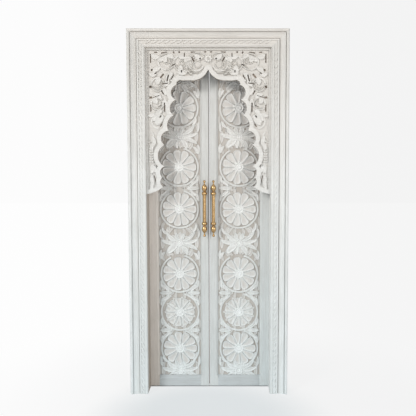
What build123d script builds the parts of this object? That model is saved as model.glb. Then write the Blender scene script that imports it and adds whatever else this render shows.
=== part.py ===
from build123d import *
import math
import os

# A carved teak double door in its moulded frame, in millimetres.
# X runs across the door, Y runs from the front to the back, and Z is up.
# The floor is at Z = 0 and the middle of the door is at X = 0.

# Frame
frame_width = 932
frame_height = 2134
face_width = 104
casing_thickness = 38
stop_lap = 12

# Moulding on the face of the frame, from its outer edge inwards
bead_radius = 9.5
quirk_width = 3
quirk_depth = 14
cove_width = 32
cove_top_depth = 2
cove_foot_depth = 13
cove_hollow = 0.72
groove_width = 4
groove_depth = 19
land_depth = 6
land_width = 9
band_width = 22
band_seat_depth = 15
band_face_depth = 11
band_relief = 4
band_pitch = 36
band_leaf_slope = 28
band_leaf_width = 9
band_leaf_bend = 2
band_leaf_back = 14
band_leaf_drop = 6.5
edge_bead_radius = 3

# Arch board
arch_setback = 25
arch_thickness = 28
arch_border = 12
arch_rim = 24
arch_pocket = 10
arch_relief = 6
apex_drop = 121
ogee_reach = 96
ogee_drop = 184
ogee_bow_reach = 0.36
ogee_bow_drop = 0.3
shoulder_inset = 212
shoulder_bow = 8
foot_drop = 840
foot_bow = 8

# Leaves
leaf_setback = 120
leaf_thickness = 40
stop_clearance = 2
hinge_gap = 3
meeting_gap = 3
head_gap = 3
floor_gap = 5
hinge_stile_width = 64
meeting_stile_width = 52
top_rail_width = 75
bottom_rail_width = 65
stile_bevel_width = 10
rail_bevel_width = 18
bevel_depth = 10

# Carved leaves are widest between these shares of their length
leaf_shoulders = [0.32, 0.68]

# Carved panels
panel_setback = 14
panel_thickness = 12
panel_housing = 9
panel_float = 1.5
ring_margin = 8
ring_width = 11
flower_gap = 4
petal_count = 11
petal_relief = 6
rim_relief = 3
petal_rim = 5
boss_radius = 29
boss_rim = 9
button_radius = 13
bud_radius = 24
petal_gap = 1
petal_shoulder = 0.88
petal_tip_share = 0.5
small_flower_trim = 14

# Hinges
hinge_inset = 220
plate_height = 100
plate_width = 30
plate_thickness = 2
barrel_radius = 6
barrel_clearance = 0.4
pin_radius = 3
pin_clearance = 0.05
pin_head_radius = 4.5
pin_head_height = 2
knuckle_gap = 0.3
screw_radius = 2
screw_head_radius = 4
screw_length = 26
screw_spacing = 34

# Pull handles
handle_offset = 27
handle_standoff = 33
handle_centre_height = 1101
handle_length = 340
post_spacing = 181
rod_radius = 10
bulb_radius = 15.5
collar_radius = 16
collar_length = 24
neck_radius = 7
vase_length = 44
tip_neck_radius = 4
tip_radius = 8
post_radius = 7
rose_radius = 13
rose_thickness = 3
stud_radius = 4
stud_length = 22

# Places worked out from the sizes above
frame_depth = leaf_setback + leaf_thickness
axis_proud = barrel_radius + barrel_clearance
front = -(frame_depth + axis_proud + barrel_radius) / 2
casing_back = front + casing_thickness
leaf_front = front + leaf_setback
back = front + frame_depth
half_width = frame_width / 2
opening_half = half_width - face_width
rebate_half = opening_half + stop_lap
opening_top = frame_height - face_width
rebate_top = opening_top + stop_lap
stop_back = leaf_front - stop_clearance

leaf_outer = rebate_half - hinge_gap
leaf_inner = meeting_gap / 2
leaf_bottom = floor_gap
leaf_top = rebate_top - head_gap
leaf_height = leaf_top - leaf_bottom
field_outer = leaf_outer - hinge_stile_width
field_inner = leaf_inner + meeting_stile_width
field_bottom = leaf_bottom + bottom_rail_width
field_top = leaf_top - top_rail_width
field_width = field_outer - field_inner
field_height = field_top - field_bottom
field_centre = (field_outer + field_inner) / 2

axis_x = rebate_half - hinge_gap / 2
axis_y = back + axis_proud
hinge_heights = [
    leaf_bottom + hinge_inset,
    (leaf_bottom + leaf_top) / 2,
    leaf_top - hinge_inset,
]

# The front corner of a leaf swings outwards as it opens, so the meeting edge is bevelled
swing_x = axis_x - leaf_inner
swing_y = axis_y - leaf_front
meeting_bevel = math.hypot(swing_x, swing_y) - swing_x - meeting_gap / 4

os.makedirs("parts", exist_ok=True)


def save(piece, name):
    """Write one finished piece under its own name."""
    piece.label = name
    export_step(piece, f"parts/{name}.step")


def save_pair(piece, name):
    """Write a piece of the left half and its mirror image on the right."""
    with BuildPart() as twin:
        mirror(piece, about=Plane.YZ)
    save(piece, f"left_{name}")
    save(twin.part, f"right_{name}")


def span_box(x_range, y_range, z_range, mode=Mode.ADD):
    """A box between two places along each axis."""
    ranges = (x_range, y_range, z_range)
    size = [high - low for low, high in ranges]
    middle = [(high + low) / 2 for low, high in ranges]
    with Locations(tuple(middle)):
        Box(*size, mode=mode)


def leaf_shape(length, width, bend):
    """A pointed carved leaf along +X, bowed sideways by its bend."""
    upper = [(share * length, bend + width / 2) for share in reversed(leaf_shoulders)]
    lower = [(share * length, bend - width / 2) for share in leaf_shoulders]
    with BuildSketch(mode=Mode.PRIVATE) as outline:
        Polygon((0, 0), *lower, (length, 0), *upper, align=None)
    return outline.sketch


def stem_shape(radius, start, sweep, width):
    """A carved stem of even width that follows an arc about the origin."""
    with BuildSketch(mode=Mode.PRIVATE) as outline:
        with BuildLine():
            inner = CenterArc((0, 0), radius - width / 2, start, sweep)
            outer = CenterArc((0, 0), radius + width / 2, start, sweep)
            Line(inner @ 0, outer @ 0)
            Line(inner @ 1, outer @ 1)
        make_face()
    return outline.sketch


def hinge_screws_shape(face_x, drive):
    """The screws of one hinge side, driven from a plate face along X by +1 or -1."""
    rows = (-screw_spacing, 0, screw_spacing)
    places = [(face_x, back - plate_width / 2, z + row) for z in hinge_heights for row in rows]
    with BuildPart(mode=Mode.PRIVATE) as screws:
        for place in places:
            head_plane = Plane(origin=place, x_dir=(0, 1, 0), z_dir=(drive, 0, 0))
            with BuildSketch(head_plane):
                Circle(screw_head_radius)
            with BuildSketch(head_plane.offset(plate_thickness)):
                Circle(screw_radius)
            loft()
            with BuildSketch(head_plane.offset(plate_thickness)):
                Circle(screw_radius)
            extrude(amount=screw_length - plate_thickness)
    return screws.part


# Frame: jambs, head and stops

frame_screws = hinge_screws_shape(-rebate_half, -1)
leaf_screws = hinge_screws_shape(-leaf_outer, 1)
save_pair(frame_screws, "frame_hinge_screws")
save_pair(leaf_screws, "leaf_hinge_screws")

with BuildPart() as jamb:
    span_box((-half_width, -rebate_half), (casing_back, back), (0, rebate_top))
    for height in hinge_heights:
        span_box(
            (-rebate_half - plate_thickness, -rebate_half),
            (back - plate_width, back),
            (height - plate_height / 2, height + plate_height / 2),
            mode=Mode.SUBTRACT,
        )
    add(frame_screws, mode=Mode.SUBTRACT)
save_pair(jamb.part, "jamb")

with BuildPart() as stop:
    span_box((-rebate_half, -opening_half), (casing_back, stop_back), (0, opening_top))
save_pair(stop.part, "stop")

with BuildPart() as head_jamb:
    span_box((-half_width, half_width), (casing_back, back), (rebate_top, frame_height))
save(head_jamb.part, "head_jamb")

with BuildPart() as head_stop:
    span_box((-rebate_half, rebate_half), (casing_back, stop_back), (opening_top, rebate_top))
save(head_stop.part, "head_stop")


# Frame: moulded casing, mitred at the two top corners

cove_start = 2 * bead_radius + quirk_width
cove_end = cove_start + cove_width
groove_end = cove_end + groove_width
band_start = groove_end + land_width
band_end = band_start + band_width
edge_bead_start = face_width - 2 * edge_bead_radius
cove_sag = (cove_foot_depth - cove_top_depth) * cove_hollow + cove_top_depth

with BuildSketch() as casing_profile:
    with BuildLine():
        Line((0, casing_thickness), (0, bead_radius))
        ThreePointArc((0, bead_radius), (bead_radius, 0), (2 * bead_radius, bead_radius))
        Polyline(
            (2 * bead_radius, bead_radius),
            (2 * bead_radius, quirk_depth),
            (cove_start, quirk_depth),
            (cove_start, cove_top_depth),
        )
        ThreePointArc(
            (cove_start, cove_top_depth),
            (cove_start + cove_width / 2, cove_sag),
            (cove_end, cove_foot_depth),
        )
        Polyline(
            (cove_end, cove_foot_depth),
            (cove_end, groove_depth),
            (groove_end, groove_depth),
            (groove_end, land_depth),
            (band_start, land_depth),
            (band_start, band_seat_depth),
            (band_end, band_seat_depth),
            (band_end, land_depth),
            (edge_bead_start, land_depth),
            (edge_bead_start, land_depth + edge_bead_radius),
        )
        ThreePointArc(
            (edge_bead_start, land_depth + edge_bead_radius),
            (edge_bead_start + edge_bead_radius, land_depth),
            (face_width, land_depth + edge_bead_radius),
        )
        Polyline(
            (face_width, land_depth + edge_bead_radius),
            (face_width, casing_thickness),
            (0, casing_thickness),
        )
    make_face()

with BuildSketch() as band_profile:
    with Locations(((band_start + band_end) / 2, (band_face_depth + band_seat_depth) / 2)):
        Rectangle(band_width, band_seat_depth - band_face_depth)

left_mitre = Plane(origin=(-half_width, 0, frame_height), z_dir=(1, 0, 1))
right_mitre = Plane(origin=(half_width, 0, frame_height), z_dir=(-1, 0, 1))
foot_plane = Plane(origin=(-half_width, front, 0), x_dir=(1, 0, 0), z_dir=(0, 0, 1))
head_plane = Plane(origin=(-half_width, front, frame_height), x_dir=(0, 0, -1), z_dir=(1, 0, 0))
band_front = Plane.XZ.offset(-(front + band_face_depth))
band_middle = (band_start + band_end) / 2
band_leaf = leaf_shape(band_pitch, band_leaf_width, band_leaf_bend)
band_leaf_place = Location((-band_leaf_back, -band_leaf_drop), band_leaf_slope)
jamb_leaf_count = int((frame_height - band_end) / band_pitch)
head_leaf_count = int((frame_width - 2 * band_end) / band_pitch)

with BuildPart() as casing:
    with BuildSketch(foot_plane):
        add(casing_profile.sketch)
    extrude(amount=frame_height)
    split(bisect_by=left_mitre, keep=Keep.BOTTOM)
save_pair(casing.part, "casing")

with BuildPart() as carved_band:
    with BuildSketch(foot_plane):
        add(band_profile.sketch)
    extrude(amount=frame_height)
    split(bisect_by=left_mitre, keep=Keep.BOTTOM)
    with BuildSketch(band_front):
        with Locations(Location((band_middle - half_width, jamb_leaf_count * band_pitch / 2), 90)):
            with GridLocations(band_pitch, band_width, jamb_leaf_count, 1):
                with Locations(band_leaf_place):
                    add(band_leaf)
    extrude(amount=band_relief)
save_pair(carved_band.part, "carved_band")

with BuildPart() as head_casing:
    with BuildSketch(head_plane):
        add(casing_profile.sketch)
    extrude(amount=frame_width)
    split(bisect_by=left_mitre, keep=Keep.TOP)
    split(bisect_by=right_mitre, keep=Keep.TOP)
save(head_casing.part, "head_casing")

with BuildPart() as head_band:
    with BuildSketch(head_plane):
        add(band_profile.sketch)
    extrude(amount=frame_width)
    split(bisect_by=left_mitre, keep=Keep.TOP)
    split(bisect_by=right_mitre, keep=Keep.TOP)
    with BuildSketch(band_front):
        with Locations((0, frame_height - band_middle)):
            with GridLocations(band_pitch, band_width, head_leaf_count, 1):
                with Locations(band_leaf_place):
                    add(band_leaf)
    extrude(amount=band_relief)
save(head_band.part, "head_carved_band")


# Arch board: a cusped ogee arch cut from one board
# Each place is measured in from the jamb and down from the head.

cusps = [
    (177, 210),
    (175, 295),
    (161, 384),
    (132, 473),
    (107, 554),
    (105, 678),
    (93, 742),
    (98, 797),
]
lobes = [
    (146, 252),
    (139, 343),
    (123, 441),
    (87, 522),
    (68, 610),
    (80, 714),
    (81, 772),
]


def arch_point(inset, drop):
    """A place on the left half of the arch board, in the door's own X and Z."""
    return (inset - opening_half, opening_top - drop)


with BuildLine() as arch_edge:
    ogee = ThreePointArc(
        (0, opening_top - apex_drop),
        (
            -ogee_reach * ogee_bow_reach,
            opening_top - ogee_drop + (ogee_drop - apex_drop) * ogee_bow_drop,
        ),
        (-ogee_reach, opening_top - ogee_drop),
    )
    soffit = Line((-ogee_reach, opening_top - ogee_drop), arch_point(shoulder_inset, ogee_drop))
    shoulder = ThreePointArc(
        arch_point(shoulder_inset, ogee_drop),
        arch_point(cusps[0][0] + shoulder_bow, ogee_drop + shoulder_bow / 2),
        arch_point(*cusps[0]),
    )
    scallops = [
        ThreePointArc(arch_point(*start), arch_point(*lobe), arch_point(*end))
        for start, lobe, end in zip(cusps, lobes, cusps[1:])
    ]
    foot = ThreePointArc(
        arch_point(*cusps[-1]),
        arch_point(cusps[-1][0] / 2, (cusps[-1][1] + foot_drop) / 2 + foot_bow),
        arch_point(0, foot_drop),
    )

with BuildSketch() as arch_outline:
    with BuildLine():
        add(arch_edge.line)
        Polyline(
            arch_point(0, foot_drop),
            arch_point(0, 0),
            (0, opening_top),
            (0, opening_top - apex_drop),
        )
    make_face()
    mirror(about=Plane.YZ)

# A plain rim of even width follows the edge of the arch
with BuildSketch() as arch_rim_outline:
    with BuildLine():
        add([ogee, soffit, foot])
    trace(line_width=2 * arch_rim)
    for arc in [shoulder] + scallops:
        with Locations(arc.arc_center):
            Circle(arc.radius + arch_rim)
    with Locations((0, opening_top - apex_drop)):
        Circle(arch_rim)
    mirror(about=Plane.YZ)

# The sunk field lies inside that rim and a narrow border at the frame
with BuildSketch() as arch_field:
    add(arch_outline.sketch)
    with Locations((0, opening_top - arch_border - foot_drop / 2)):
        Rectangle(2 * (opening_half - arch_border), foot_drop, mode=Mode.INTERSECT)
    add(arch_rim_outline.sketch, mode=Mode.SUBTRACT)

# Stems of the carved scrolls: inset, drop, radius, start angle and sweep
arch_stems = [
    (300, 92, 66, 190, 140),
    (292, 84, 46, 185, 150),
    (208, 86, 44, 20, 200),
    (120, 78, 46, 150, 240),
    (70, 208, 38, 60, 250),
    (66, 318, 34, 100, 250),
    (74, 418, 40, 120, 150),
    (10, 505, 34, -60, 110),
    (52, 690, 26, 110, 140),
    (14, 745, 24, -70, 130),
]
# Leaves: inset, drop, length, width, bend and angle
arch_leaves = [
    (330, 62, 56, 26, 8, 150),
    (268, 60, 50, 25, -7, 200),
    (246, 130, 65, 25, 8, 190),
    (236, 52, 48, 23, 7, 170),
    (204, 96, 43, 26, 7, 250),
    (196, 150, 67, 29, 9, 215),
    (166, 60, 48, 25, -7, 160),
    (160, 140, 63, 28, -9, 235),
    (128, 170, 54, 25, 8, 250),
    (118, 84, 43, 32, 8, 90),
    (112, 60, 39, 23, -6, 210),
    (84, 54, 56, 28, 8, 160),
    (88, 110, 56, 26, -7, 215),
    (66, 146, 48, 25, 7, 180),
    (140, 206, 43, 23, 6, 240),
    (106, 226, 50, 25, -7, 300),
    (66, 210, 43, 29, 7, 60),
    (44, 262, 56, 25, 8, 330),
    (112, 286, 50, 25, 6, 255),
    (66, 320, 39, 28, 7, 100),
    (98, 352, 54, 26, -8, 230),
    (52, 372, 43, 23, 6, 200),
    (60, 440, 71, 44, 6, 55),
    (42, 420, 54, 20, -6, 75),
    (34, 500, 65, 23, 7, 280),
    (46, 540, 50, 22, -6, 255),
    (36, 670, 48, 20, 6, 290),
    (28, 720, 52, 22, -6, 80),
    (44, 786, 60, 22, 7, 100),
    (24, 818, 54, 20, -6, 85),
]
tooth_count = 6
tooth_pitch = 15
tooth_inset = 30
tooth_drop = 576
tooth_length = 17
tooth_width = 6
tooth_slope = 28
stem_width = 9
crown_leaf_count = 8
crown_leaf_length = 24
pocket_depth = 8
# Deep slots between the leaves: inset, drop, length, width and angle
arch_pockets = [
    (60, 24, 18, 7, 0),
    (108, 26, 34, 7, 8),
    (164, 25, 13, 8, -50),
    (195, 23, 10, 9, 0),
    (225, 39, 24, 6, 90),
    (274, 23, 26, 7, 0),
    (345, 22, 12, 8, 0),
    (274, 64, 28, 8, -62),
    (316, 61, 10, 9, 30),
    (30, 58, 52, 7, 90),
    (37, 124, 12, 11, 20),
    (59, 144, 15, 6, 30),
    (95, 158, 30, 11, 50),
    (129, 171, 40, 8, 76),
    (155, 166, 30, 6, 65),
    (161, 97, 22, 6, 33),
    (208, 133, 14, 7, 90),
    (112, 202, 38, 6, 8),
    (29, 221, 15, 14, 0),
    (29, 281, 17, 12, 0),
    (60, 276, 42, 4, 15),
    (98, 252, 26, 7, -58),
    (29, 342, 40, 7, 90),
    (109, 337, 52, 7, 90),
    (80, 331, 24, 5, 30),
    (85, 391, 15, 8, 50),
    (88, 440, 22, 7, 55),
    (66, 683, 30, 5, -60),
    (52, 758, 56, 5, -75),
]

arch_front = Plane.XZ.offset(-(front + arch_setback))
arch_ground = arch_front.offset(-arch_pocket)
arch_foliage = [
    Location((*arch_point(inset, drop), 0), angle) * leaf_shape(length, width, bend)
    for inset, drop, length, width, bend, angle in arch_leaves
]
arch_scrolls = [
    Location((*arch_point(inset, drop), 0)) * stem_shape(radius, start, sweep, stem_width)
    for inset, drop, radius, start, sweep in arch_stems
]
with BuildPart() as arch_board:
    with BuildSketch(arch_front):
        add(arch_outline.sketch)
    extrude(amount=-arch_thickness)
    with BuildSketch(arch_front):
        add(arch_field.sketch)
    extrude(amount=-arch_pocket, mode=Mode.SUBTRACT)
    with BuildSketch(arch_ground):
        add(arch_scrolls + arch_foliage)
        for slope in (-1, 1):
            tooth_middle = tooth_drop + (tooth_count - 1) * tooth_pitch / 2
            with Locations(arch_point(tooth_inset + slope * tooth_length / 3, tooth_middle)):
                with GridLocations(tooth_length, tooth_pitch, 1, tooth_count):
                    Rectangle(tooth_length, tooth_width, rotation=slope * tooth_slope)
        mirror(about=Plane.YZ)
        with Locations((0, opening_top - apex_drop / 2)):
            with PolarLocations(0, crown_leaf_count):
                add(leaf_shape(crown_leaf_length, crown_leaf_length / 2, 1))
        add(arch_field.sketch, mode=Mode.INTERSECT)
    extrude(amount=arch_relief)
    with BuildSketch(arch_front):
        for inset, drop, length, width, angle in arch_pockets:
            with Locations(Location((*arch_point(inset, drop), 0), angle)):
                Rectangle(length, width)
        mirror(about=Plane.YZ)
        add(arch_field.sketch, mode=Mode.INTERSECT)
    extrude(amount=-(arch_pocket + pocket_depth), mode=Mode.SUBTRACT)
save(arch_board.part, "arch_board")


# Leaves: stiles and rails about one carved board, drawn for the left leaf

groove_front = leaf_front + panel_setback
groove_back = groove_front + panel_thickness
bevel_back = leaf_front + bevel_depth

with BuildPart() as hinge_stile:
    span_box((-leaf_outer, -field_outer), (leaf_front, back), (leaf_bottom, leaf_top))
    span_box(
        (-field_outer - panel_housing, -field_outer),
        (groove_front, groove_back),
        (leaf_bottom, leaf_top),
        mode=Mode.SUBTRACT,
    )
    with BuildSketch(Plane.XY.offset(field_bottom)):
        Polygon(
            (-field_outer, leaf_front),
            (-field_outer, bevel_back),
            (-field_outer - stile_bevel_width, leaf_front),
            align=None,
        )
    extrude(amount=field_height, mode=Mode.SUBTRACT)
    for height in hinge_heights:
        span_box(
            (-leaf_outer, -leaf_outer + plate_thickness),
            (back - plate_width, back),
            (height - plate_height / 2, height + plate_height / 2),
            mode=Mode.SUBTRACT,
        )
    add(leaf_screws, mode=Mode.SUBTRACT)
save_pair(hinge_stile.part, "hinge_stile")

with BuildPart() as handle_stud_holes:
    for slope in (-1, 1):
        stud_place = (-handle_offset, leaf_front, handle_centre_height + slope * post_spacing / 2)
        with BuildSketch(Plane(origin=stud_place, z_dir=(0, 1, 0))):
            Circle(stud_radius)
        extrude(amount=stud_length)

with BuildPart() as meeting_stile:
    with BuildSketch(Plane.XY.offset(leaf_bottom)):
        Polygon(
            (-field_inner, leaf_front),
            (-leaf_inner - meeting_bevel, leaf_front),
            (-leaf_inner, back),
            (-field_inner, back),
            align=None,
        )
    extrude(amount=leaf_height)
    span_box(
        (-field_inner, -field_inner + panel_housing),
        (groove_front, groove_back),
        (leaf_bottom, leaf_top),
        mode=Mode.SUBTRACT,
    )
    with BuildSketch(Plane.XY.offset(field_bottom)):
        Polygon(
            (-field_inner, leaf_front),
            (-field_inner, bevel_back),
            (-field_inner + stile_bevel_width, leaf_front),
            align=None,
        )
    extrude(amount=field_height, mode=Mode.SUBTRACT)
    add(handle_stud_holes.part, mode=Mode.SUBTRACT)
save_pair(meeting_stile.part, "meeting_stile")

# Each rail: its name, its outer and field edges, and the bevel along the field
rails = [
    ("bottom_rail", leaf_bottom, field_bottom, rail_bevel_width),
    ("top_rail", leaf_top, field_top, rail_bevel_width),
]
for name, outer_edge, field_edge, bevel_width in rails:
    inward = 1 if field_edge > outer_edge else -1
    heights = sorted((outer_edge, field_edge))
    housing = sorted((field_edge, field_edge - inward * panel_housing))
    with BuildPart() as rail:
        span_box((-field_outer, -field_inner), (leaf_front, back), heights)
        span_box(
            (-field_outer - panel_housing, -field_inner + panel_housing),
            (groove_front, groove_back),
            heights,
        )
        span_box(
            (-field_outer - panel_housing, -field_inner + panel_housing),
            (groove_front, groove_back),
            housing,
            mode=Mode.SUBTRACT,
        )
        with BuildSketch(Plane.YZ.offset(-field_outer)):
            Polygon(
                (leaf_front, field_edge),
                (bevel_back, field_edge),
                (leaf_front, field_edge - inward * bevel_width),
                align=None,
            )
        extrude(amount=field_width, mode=Mode.SUBTRACT)
    save_pair(rail.part, name)


# Carved panel: rosettes in rings of stem, with buds and leaves between them
# Rosettes, buds and the middles of close pairs stand at these shares of the field's height

rosette_places = [0.088, 0.208, 0.333, 0.541, 0.675, 0.861]
small_rosette = 0.208
bud_places = [0.014, 0.432, 0.77, 0.945]
pair_places = [0.148, 0.2705, 0.608]

ring_outer = field_width / 2 - ring_margin
ring_radius = ring_outer - ring_width / 2
flower_radius = ring_outer - ring_width - flower_gap
small_flower_radius = flower_radius - small_flower_trim


def field_spot(share):
    """A place on the middle line of the left field, at a share of its height."""
    return (-field_centre, field_bottom + share * field_height)


def petal_shape(tip, inset):
    """A fan-shaped petal along +X, drawn in from its neighbours by the inset."""
    spread = math.tan(math.pi / petal_count)
    root = inset / spread
    shoulder = tip * petal_shoulder
    shoulder_half = shoulder * spread - inset
    tip_half = shoulder_half * petal_tip_share
    with BuildSketch(mode=Mode.PRIVATE) as outline:
        Polygon(
            (root, 0),
            (shoulder, -shoulder_half),
            (tip - inset, -tip_half),
            (tip - inset, tip_half),
            (shoulder, shoulder_half),
            align=None,
        )
    return outline.sketch


def flower_shape(tip, inset):
    """All the petals of one rosette about the origin."""
    petal = petal_shape(tip, inset)
    turns = [Location((0, 0, 0), 360 * step / petal_count) for step in range(petal_count)]
    return [turn * petal for turn in turns]


# Leaves on each side of a close pair: across, up, length, width, bend and angle
side_leaves = [
    (48, 0, 76, 22, 0, 0),
    (64, 8, 68, 18, 6, 38),
    (64, -8, 68, 18, -6, -38),
    (108, 30, 50, 15, 3, 82),
    (108, -30, 50, 15, -3, -82),
    (-48, 0, 76, 22, 0, 180),
    (-64, 8, 68, 18, -6, 142),
    (-64, -8, 68, 18, 6, 218),
    (-108, 30, 50, 15, -3, 98),
    (-108, -30, 50, 15, 3, 262),
]
# Leaves about each bud, in the same order
bud_leaves = [
    (-7, 18, 46, 22, 5, 108),
    (7, 18, 46, 22, -5, 72),
    (-16, 11, 80, 24, 9, 140),
    (16, 11, 100, 22, -9, 38),
    (-20, 1, 96, 24, 8, 168),
    (20, 2, 96, 20, -8, 14),
    (-14, -12, 80, 38, -6, 219),
    (18, -8, 98, 22, 9, -20),
    (11, -16, 68, 26, 9, -58),
    (-4, -20, 50, 20, -5, 262),
    (-72, 52, 56, 17, 6, 128),
    (-110, 28, 62, 15, 5, 92),
    (-112, -38, 62, 15, -5, 268),
    (-88, -52, 52, 17, -6, 240),
    (78, 66, 58, 17, -6, 66),
    (110, 28, 62, 15, -5, 86),
    (112, -42, 62, 15, 5, 272),
    (84, -56, 54, 17, 6, 300),
]
ring_start = 76
ring_sweep = 318


def foliage(rows, spots):
    """The leaves of each row about every spot."""
    return [
        Location((x + across, z + up, 0), angle) * leaf_shape(length, width, bend)
        for x, z in spots
        for across, up, length, width, bend, angle in rows
    ]


rosette_spots = [field_spot(share) for share in rosette_places]
bud_spots = [field_spot(share) for share in bud_places]
pair_spots = [field_spot(share) for share in pair_places]
ring = stem_shape(ring_radius, ring_start, ring_sweep, ring_width)


def flowers(inset):
    """The petals of every rosette, drawn in by the inset."""
    shapes = []
    for share, spot in zip(rosette_places, rosette_spots):
        tip = small_flower_radius if share == small_rosette else flower_radius
        shapes += [Location(spot) * petal for petal in flower_shape(tip, inset)]
    return shapes


panel_ground = Plane.XZ.offset(-groove_front)
with BuildSketch() as panel_field:
    with Locations(field_spot(0.5)):
        Rectangle(field_width - 2 * panel_float, field_height - 2 * panel_float)

with BuildPart() as carved_panel:
    span_box(
        (-field_outer - panel_housing + panel_float, -field_inner + panel_housing - panel_float),
        (groove_front, groove_back),
        (field_bottom - panel_housing + panel_float, field_top + panel_housing - panel_float),
    )
    with BuildSketch(panel_ground):
        add(flowers(petal_gap))
        add([Location(spot) * ring for spot in rosette_spots])
        add(foliage(side_leaves, pair_spots))
        add(foliage(bud_leaves, bud_spots))
        with Locations(*rosette_spots):
            Circle(boss_radius)
        with Locations(*bud_spots):
            Circle(bud_radius)
        add(panel_field.sketch, mode=Mode.INTERSECT)
    extrude(amount=petal_relief)
    with BuildSketch(panel_ground.offset(petal_relief)):
        add(flowers(petal_gap))
        add(flowers(petal_gap + petal_rim), mode=Mode.SUBTRACT)
        with Locations(*rosette_spots):
            Circle(boss_radius)
            Circle(boss_radius - boss_rim, mode=Mode.SUBTRACT)
            RegularPolygon(button_radius, 6)
        with Locations(*bud_spots):
            Circle(bud_radius)
            Circle(bud_radius - boss_rim, mode=Mode.SUBTRACT)
        add(panel_field.sketch, mode=Mode.INTERSECT)
    extrude(amount=rim_relief)
save(carved_panel.part, "left_carved_panel")

# Both leaves carry the same pattern, turned the same way
with BuildPart() as right_panel:
    with Locations((2 * field_centre, 0, 0)):
        add(carved_panel.part)
save(right_panel.part, "right_carved_panel")


# Butt hinges: five knuckles, three on the jamb plate and two on the leaf plate

knuckle_length = plate_height / 5


def hinge_half(height, plate_range, own_knuckles, screws):
    """One plate of a hinge with its own knuckles; the other plate's are left clear."""
    knuckle_heights = [height + step * knuckle_length for step in (-2, -1, 0, 1, 2)]
    with BuildPart(mode=Mode.PRIVATE) as plate:
        span_box(
            plate_range,
            (back - plate_width, axis_y),
            (height - plate_height / 2, height + plate_height / 2),
        )
        with Locations(*[(-axis_x, axis_y, knuckle_heights[step]) for step in range(5)]):
            Cylinder(barrel_radius + knuckle_gap, knuckle_length, mode=Mode.SUBTRACT)
        with Locations(*[(-axis_x, axis_y, knuckle_heights[step]) for step in own_knuckles]):
            Cylinder(barrel_radius + knuckle_gap, knuckle_length - knuckle_gap)
        with Locations((-axis_x, axis_y, height)):
            Cylinder(pin_radius + pin_clearance, plate_height, mode=Mode.SUBTRACT)
        add(screws, mode=Mode.SUBTRACT)
    return plate.part


frame_plate_range = (-rebate_half - plate_thickness, -rebate_half)
leaf_plate_range = (-leaf_outer, -leaf_outer + plate_thickness)
for level, height in zip(("lower", "middle", "upper"), hinge_heights):
    frame_plate = hinge_half(height, frame_plate_range, (0, 2, 4), frame_screws)
    save_pair(frame_plate, f"{level}_hinge_frame_plate")
    leaf_plate = hinge_half(height, leaf_plate_range, (1, 3), leaf_screws)
    save_pair(leaf_plate, f"{level}_hinge_leaf_plate")
    with BuildPart() as pin:
        with Locations((-axis_x, axis_y, height - plate_height / 2)):
            Cylinder(pin_radius, plate_height, align=(Align.CENTER, Align.CENTER, Align.MIN))
        with Locations((-axis_x, axis_y, height + plate_height / 2)):
            Cylinder(
                pin_head_radius, pin_head_height, align=(Align.CENTER, Align.CENTER, Align.MIN)
            )
    save_pair(pin.part, f"{level}_hinge_pin")


# Pull handles: a turned grip on two posts with roses

handle_y = leaf_front - handle_standoff

with BuildPart() as posts:
    for slope in (-1, 1):
        post_z = handle_centre_height + slope * post_spacing / 2
        post_plane = Plane(origin=(-handle_offset, leaf_front, post_z), z_dir=(0, -1, 0))
        with BuildSketch(post_plane):
            Circle(rose_radius)
        extrude(amount=rose_thickness)
        with BuildSketch(post_plane):
            Circle(post_radius)
        extrude(amount=handle_standoff - post_radius)
        with BuildSketch(post_plane):
            Circle(stud_radius)
        extrude(amount=-stud_length)
save_pair(posts.part, "handle_posts")

with BuildPart() as grip:
    grip_origin = (-handle_offset, handle_y, handle_centre_height)
    collar_centre = post_spacing / 2
    vase_start = collar_centre + collar_length / 2
    vase_end = vase_start + vase_length
    grip_end = handle_length / 2
    ball_angle = math.degrees(math.acos(tip_neck_radius / tip_radius))
    ball_start = grip_end - tip_radius - math.sqrt(tip_radius**2 - tip_neck_radius**2)
    with BuildSketch(Plane(origin=grip_origin, x_dir=(1, 0, 0), z_dir=(0, -1, 0))):
        with BuildLine():
            Polyline(
                (0, grip_end),
                (0, 0),
                (rod_radius, 0),
                (rod_radius, collar_centre - collar_length / 2),
            )
            Spline(
                (rod_radius, collar_centre - collar_length / 2),
                (collar_radius, collar_centre),
                (neck_radius, vase_start),
            )
            Spline(
                (neck_radius, vase_start),
                (bulb_radius, vase_start + vase_length * 0.42),
                (tip_neck_radius, vase_end),
            )
            Line((tip_neck_radius, vase_end), (tip_neck_radius, ball_start))
            CenterArc((0, grip_end - tip_radius), tip_radius, -ball_angle, 90 + ball_angle)
        make_face()
    revolve(axis=Axis(grip_origin, (0, 0, 1)))
    mirror(about=Plane.XY.offset(handle_centre_height))
    add(posts.part, mode=Mode.SUBTRACT)
save_pair(grip.part, "handle_grip")
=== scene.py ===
import math

import bmesh
import bpy
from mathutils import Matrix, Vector


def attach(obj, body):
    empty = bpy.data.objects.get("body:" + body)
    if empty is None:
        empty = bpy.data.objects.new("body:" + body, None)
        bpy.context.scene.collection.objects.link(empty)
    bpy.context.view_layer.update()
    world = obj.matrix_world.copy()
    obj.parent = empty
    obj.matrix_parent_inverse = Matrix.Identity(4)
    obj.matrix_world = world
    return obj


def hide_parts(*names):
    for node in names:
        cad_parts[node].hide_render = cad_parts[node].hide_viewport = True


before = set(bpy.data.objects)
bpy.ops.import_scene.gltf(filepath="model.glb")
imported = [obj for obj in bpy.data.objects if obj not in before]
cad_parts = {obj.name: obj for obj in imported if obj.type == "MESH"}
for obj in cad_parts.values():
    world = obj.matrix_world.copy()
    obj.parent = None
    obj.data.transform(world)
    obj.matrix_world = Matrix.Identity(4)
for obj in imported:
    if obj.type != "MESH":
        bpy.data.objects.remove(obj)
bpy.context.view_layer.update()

# Sizes in metres, as in the solids of the door
opening_half = 0.362
opening_top = 2.030
front = -0.0862
arch_ground = -0.0512
leaf_front = 0.0338
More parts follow.
